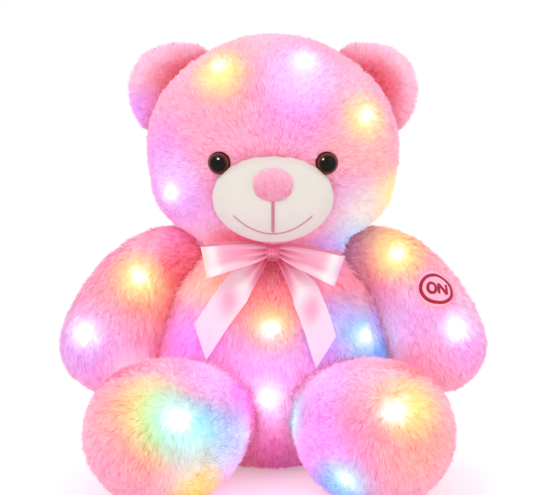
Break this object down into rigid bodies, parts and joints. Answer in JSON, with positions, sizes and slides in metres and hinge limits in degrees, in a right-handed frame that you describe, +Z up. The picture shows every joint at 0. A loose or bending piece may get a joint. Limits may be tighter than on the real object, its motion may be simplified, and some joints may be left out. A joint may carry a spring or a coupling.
{
  "type": "plush night light",
  "caption": "Sitting plush bear night light with glowing lamp strings under its fur, a satin bow, a press switch in one arm and a battery box behind a zip in the back.",
  "frame": {"origin": "middle of the flat face under the body that it sits on", "axes": "+Z up, the bear faces -Y, its left side as seen from the front is -X"},
  "size_m": [0.3404, 0.2824, 0.3488],
  "materials": {
    "pink_plush": "matte",
    "muzzle_plush": "matte",
    "nose_plush": "matte",
    "mouth_thread": "satin",
    "stuffing": "matte",
    "satin": "satin",
    "eye_plastic": "gloss",
    "lamp_plastic": "gloss",
    "case_plastic": "satin",
    "steel": "satin",
    "cell_wrap": "satin",
    "board_laminate": "satin",
    "zip_tape": "matte",
    "thread": "satin"
  },
  "bodies": {
    "torso": {"body_cover": "pink_plush", "body_stuffing": "stuffing", "neck_ribbon": "satin", "bow_knot": "satin", "bow_loop_left": "satin", "bow_loop_right": "satin", "bow_tail_left": "satin", "bow_tail_right": "satin", "led_string_body": "lamp_plastic", "battery_case": "case_plastic", "battery_cover": "case_plastic", "battery_cover_screw": "steel", "battery_cell_1": "cell_wrap", "battery_cell_2": "cell_wrap", "battery_cell_3": "cell_wrap", "contact_springs": "steel", "contact_plate": "steel", "control_board": "board_laminate", "zip_tape_left": "zip_tape", "zip_tape_right": "zip_tape", "zip_chain": "zip_tape"},
    "head": {"head_cover": "pink_plush", "head_stuffing": "stuffing", "ear_left": "pink_plush", "ear_right": "pink_plush", "muzzle": "muzzle_plush", "nose": "nose_plush", "mouth_line": "mouth_thread", "smile_line": "mouth_thread", "eye_left": "eye_plastic", "eye_right": "eye_plastic", "eye_washer_left": "case_plastic", "eye_washer_right": "case_plastic", "led_string_head": "lamp_plastic"},
    "arm_left": {"arm_left_cover": "pink_plush", "arm_left_stuffing": "stuffing", "led_string_arm_left": "lamp_plastic"},
    "arm_right": {"arm_right_cover": "pink_plush", "arm_right_stuffing": "stuffing", "led_string_arm_right": "lamp_plastic", "switch_housing": "case_plastic", "switch_spring": "steel"},
    "leg_left": {"leg_left_cover": "pink_plush", "leg_left_stuffing": "stuffing", "foot_sole_left": "pink_plush", "led_string_leg_left": "lamp_plastic"},
    "leg_right": {"leg_right_cover": "pink_plush", "leg_right_stuffing": "stuffing", "foot_sole_right": "pink_plush", "led_string_leg_right": "lamp_plastic"},
    "switch_press": {"switch_button": "case_plastic", "on_patch": "pink_plush", "on_ring": "thread", "on_letter_o": "thread", "on_letter_n": "thread"},
    "zip_slider": {"zip_slider": "steel"},
    "zip_pull": {"zip_pull": "steel"}
  },
  "joints": [
    {"name": "head_turn", "type": "hinge", "parent": "torso", "child": "head", "pos_m": [0, -0.004, 0.165], "axis": [0, 0, 1], "range_deg": [-12, 12], "stiffness_Nm_per_rad": 0.6},
    {"name": "arm_left_swing", "type": "hinge", "parent": "torso", "child": "arm_left", "pos_m": [-0.068, 0, 0.168], "axis": [0, 1, 0], "range_deg": [0, 15], "stiffness_Nm_per_rad": 0.3},
    {"name": "arm_right_swing", "type": "hinge", "parent": "torso", "child": "arm_right", "pos_m": [0.068, 0, 0.168], "axis": [0, -1, 0], "range_deg": [0, 15], "stiffness_Nm_per_rad": 0.3},
    {"name": "leg_left_splay", "type": "hinge", "parent": "torso", "child": "leg_left", "pos_m": [-0.05, -0.036, 0.044], "axis": [0, 0, -1], "range_deg": [0, 8], "stiffness_Nm_per_rad": 0.8},
    {"name": "leg_right_splay", "type": "hinge", "parent": "torso", "child": "leg_right", "pos_m": [0.05, -0.036, 0.044], "axis": [0, 0, 1], "range_deg": [0, 8], "stiffness_Nm_per_rad": 0.8},
    {"name": "switch_press", "type": "slide", "parent": "arm_right", "child": "switch_press", "axis": [-0.3275, 0.7421, -0.5848], "range_m": [0, 0.0015], "stiffness_N_per_m": 300, "deforming": ["switch_spring"]},
    {"name": "zip_slide", "type": "slide", "parent": "torso", "child": "zip_slider", "axis": [0, 0, -1], "range_m": [0, 0.056]},
    {"name": "zip_pull_flip", "type": "hinge", "parent": "zip_slider", "child": "zip_pull", "pos_m": [0, 0.0805, 0.1165], "axis": [1, 0, 0], "range_deg": [0, 100]}
  ]
}
